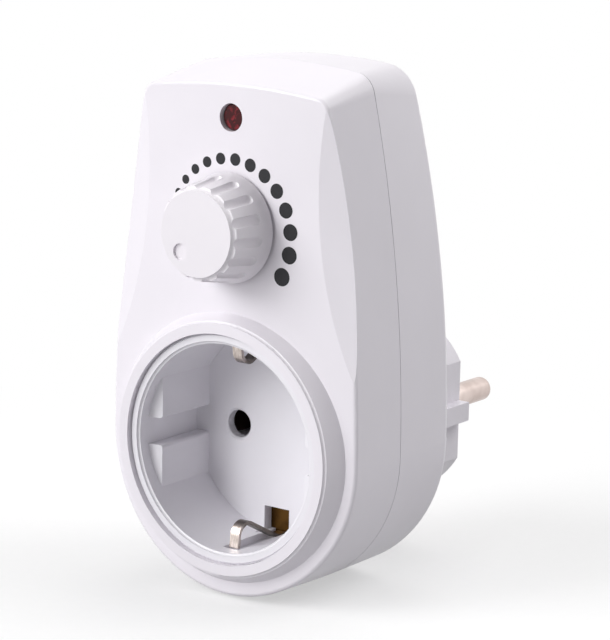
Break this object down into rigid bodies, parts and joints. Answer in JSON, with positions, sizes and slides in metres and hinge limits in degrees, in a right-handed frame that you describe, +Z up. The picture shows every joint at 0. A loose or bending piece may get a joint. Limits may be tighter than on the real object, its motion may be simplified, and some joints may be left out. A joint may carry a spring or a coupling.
{
  "type": "plug-in dimmer",
  "caption": "White plug-in dimmer with an earthed round socket, a fluted control knob with a dial of dots, and a red pilot light.",
  "frame": {"origin": "on the plug's axis, in the plane of the rear face that meets the wall socket", "axes": "+X to the right as seen from the front, +Y back towards the wall along the plug, +Z up"},
  "size_m": [0.0568, 0.0828, 0.0987],
  "materials": {
    "housing_white": "satin",
    "insert_white": "satin",
    "knob_white": "satin",
    "nickel_plate": "satin",
    "zinc_steel": "satin",
    "brass": "satin",
    "carrier_grey": "matte",
    "lead_brown": "matte",
    "lead_blue": "matte",
    "shaft_white": "matte",
    "pot_black": "matte",
    "carbon_track": "matte",
    "board_tan": "matte",
    "lens_red": "gloss",
    "lamp_glass": "clear",
    "tinned_wire": "satin",
    "sink_aluminium": "satin",
    "triac_black": "matte",
    "ferrite": "matte",
    "enamelled_copper": "gloss",
    "capacitor_yellow": "satin",
    "diac_blue": "gloss",
    "resistor_tan": "matte",
    "capacitor_green": "gloss",
    "trimmer_blue": "matte"
  },
  "bodies": {
    "housing": {"front_cover": "housing_white", "rear_housing": "housing_white", "socket_insert": "insert_white", "housing_screws": "zinc_steel", "board_screws": "zinc_steel", "earth_bridge": "brass", "plug_earth_top": "nickel_plate", "plug_earth_bottom": "nickel_plate", "plug_pin_left": "nickel_plate", "plug_pin_right": "nickel_plate", "pin_carrier": "carrier_grey", "socket_contact_left": "brass", "socket_contact_right": "brass", "neutral_strap": "brass", "live_lead": "lead_brown", "load_lead": "lead_brown", "neutral_lead": "lead_blue", "pot_case": "pot_black", "pot_track": "carbon_track", "pot_terminals": "zinc_steel", "circuit_board": "board_tan", "indicator_lens": "lens_red", "neon_lamp": "lamp_glass", "lamp_leads": "tinned_wire", "heat_sink": "sink_aluminium", "triac": "triac_black", "choke_core": "ferrite", "choke_winding": "enamelled_copper", "film_capacitor": "capacitor_yellow", "fuse_glass": "lamp_glass", "fuse_caps": "nickel_plate", "fuse_clips": "brass", "diac": "diac_blue", "resistors": "resistor_tan", "timing_capacitor": "capacitor_green", "minimum_trimmer": "trimmer_blue"},
    "knob": {"control_knob": "knob_white", "pot_shaft": "shaft_white", "pot_wiper": "brass"},
    "upper_clip": {"upper_earth_clip": "nickel_plate"},
    "lower_clip": {"lower_earth_clip": "nickel_plate"}
  },
  "joints": [
    {"name": "knob_turn", "type": "hinge", "parent": "housing", "child": "knob", "pos_m": [0, -0.0315, 0.0409], "axis": [0, 1, 0], "range_deg": [0, 270]},
    {"name": "upper_clip_flex", "type": "hinge", "parent": "housing", "child": "upper_clip", "pos_m": [0, -0.014, 0.0201], "axis": [-1, 0, 0], "range_deg": [0, 4], "stiffness_Nm_per_rad": 1.2},
    {"name": "lower_clip_flex", "type": "hinge", "parent": "housing", "child": "lower_clip", "pos_m": [0, -0.014, -0.0201], "axis": [1, 0, 0], "range_deg": [0, 4], "stiffness_Nm_per_rad": 1.2}
  ]
}
